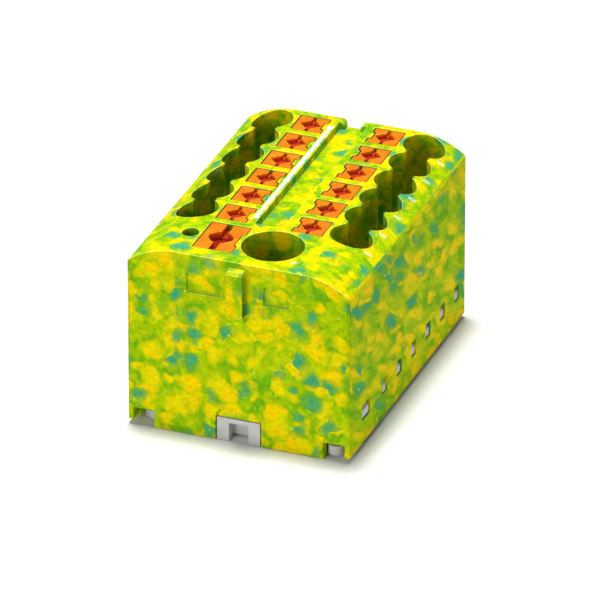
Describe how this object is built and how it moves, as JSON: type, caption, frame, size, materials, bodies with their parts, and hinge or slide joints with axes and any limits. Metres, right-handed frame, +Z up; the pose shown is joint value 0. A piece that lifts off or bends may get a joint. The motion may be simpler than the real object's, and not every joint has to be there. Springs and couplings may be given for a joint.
{
  "type": "distribution terminal block",
  "caption": "Flat-bottomed push-in distribution block with round shoulders, two rows of merged wire wells, orange release buttons, a large feed entry and a clipped-in base.",
  "frame": {"origin": "centre of the bounding box in plan, on the plane the block stands on", "axes": "+Y along the block from the feed end's face to the plain back end, +X to the right seen from the feed end, +Z up out of the wire entries"},
  "size_m": [0.0286, 0.041, 0.0245],
  "materials": {
    "housing_plastic": "satin moulded plastic, marbled lime green, yellow and blue-green",
    "base_plastic": "satin light grey",
    "button_plastic": "satin orange",
    "tinned_copper": "tin-plated copper, stamped",
    "spring_steel": "bright rolled spring strip"
  },
  "bodies": {
    "block": {"housing": "housing_plastic", "base_cover": "base_plastic", "bus_bar": "tinned_copper", "feed_spring": "spring_steel", "spring_left_1": "spring_steel", "spring_left_2": "spring_steel", "spring_left_3": "spring_steel", "spring_left_4": "spring_steel", "spring_left_5": "spring_steel", "spring_left_6": "spring_steel", "spring_right_1": "spring_steel", "spring_right_2": "spring_steel", "spring_right_3": "spring_steel", "spring_right_4": "spring_steel", "spring_right_5": "spring_steel", "spring_right_6": "spring_steel"},
    "feed_button": {"feed_button": "button_plastic"},
    "button_left_1": {"button_left_1": "button_plastic"},
    "button_left_2": {"button_left_2": "button_plastic"},
    "button_left_3": {"button_left_3": "button_plastic"},
    "button_left_4": {"button_left_4": "button_plastic"},
    "button_left_5": {"button_left_5": "button_plastic"},
    "button_left_6": {"button_left_6": "button_plastic"},
    "button_right_1": {"button_right_1": "button_plastic"},
    "button_right_2": {"button_right_2": "button_plastic"},
    "button_right_3": {"button_right_3": "button_plastic"},
    "button_right_4": {"button_right_4": "button_plastic"},
    "button_right_5": {"button_right_5": "button_plastic"},
    "button_right_6": {"button_right_6": "button_plastic"}
  },
  "joints": [
    {"name": "press_feed", "type": "slide", "parent": "block", "child": "feed_button", "axis": [0, 0, -1], "range_m": [0, 0.0022], "stiffness_N_per_m": 3000, "springref_m": -0.002, "deforming": ["feed_spring"]},
    {"name": "press_left_1", "type": "slide", "parent": "block", "child": "button_left_1", "axis": [0, 0, -1], "range_m": [0, 0.0016], "stiffness_N_per_m": 2000, "springref_m": -0.0015, "deforming": ["spring_left_1"]},
    {"name": "press_left_2", "type": "slide", "parent": "block", "child": "button_left_2", "axis": [0, 0, -1], "range_m": [0, 0.0016], "stiffness_N_per_m": 2000, "springref_m": -0.0015, "deforming": ["spring_left_2"]},
    {"name": "press_left_3", "type": "slide", "parent": "block", "child": "button_left_3", "axis": [0, 0, -1], "range_m": [0, 0.0016], "stiffness_N_per_m": 2000, "springref_m": -0.0015, "deforming": ["spring_left_3"]},
    {"name": "press_left_4", "type": "slide", "parent": "block", "child": "button_left_4", "axis": [0, 0, -1], "range_m": [0, 0.0016], "stiffness_N_per_m": 2000, "springref_m": -0.0015, "deforming": ["spring_left_4"]},
    {"name": "press_left_5", "type": "slide", "parent": "block", "child": "button_left_5", "axis": [0, 0, -1], "range_m": [0, 0.0016], "stiffness_N_per_m": 2000, "springref_m": -0.0015, "deforming": ["spring_left_5"]},
    {"name": "press_left_6", "type": "slide", "parent": "block", "child": "button_left_6", "axis": [0, 0, -1], "range_m": [0, 0.0016], "stiffness_N_per_m": 2000, "springref_m": -0.0015, "deforming": ["spring_left_6"]},
    {"name": "press_right_1", "type": "slide", "parent": "block", "child": "button_right_1", "axis": [0, 0, -1], "range_m": [0, 0.0016], "stiffness_N_per_m": 2000, "springref_m": -0.0015, "deforming": ["spring_right_1"]},
    {"name": "press_right_2", "type": "slide", "parent": "block", "child": "button_right_2", "axis": [0, 0, -1], "range_m": [0, 0.0016], "stiffness_N_per_m": 2000, "springref_m": -0.0015, "deforming": ["spring_right_2"]},
    {"name": "press_right_3", "type": "slide", "parent": "block", "child": "button_right_3", "axis": [0, 0, -1], "range_m": [0, 0.0016], "stiffness_N_per_m": 2000, "springref_m": -0.0015, "deforming": ["spring_right_3"]},
    {"name": "press_right_4", "type": "slide", "parent": "block", "child": "button_right_4", "axis": [0, 0, -1], "range_m": [0, 0.0016], "stiffness_N_per_m": 2000, "springref_m": -0.0015, "deforming": ["spring_right_4"]},
    {"name": "press_right_5", "type": "slide", "parent": "block", "child": "button_right_5", "axis": [0, 0, -1], "range_m": [0, 0.0016], "stiffness_N_per_m": 2000, "springref_m": -0.0015, "deforming": ["spring_right_5"]},
    {"name": "press_right_6", "type": "slide", "parent": "block", "child": "button_right_6", "axis": [0, 0, -1], "range_m": [0, 0.0016], "stiffness_N_per_m": 2000, "springref_m": -0.0015, "deforming": ["spring_right_6"]}
  ]
}
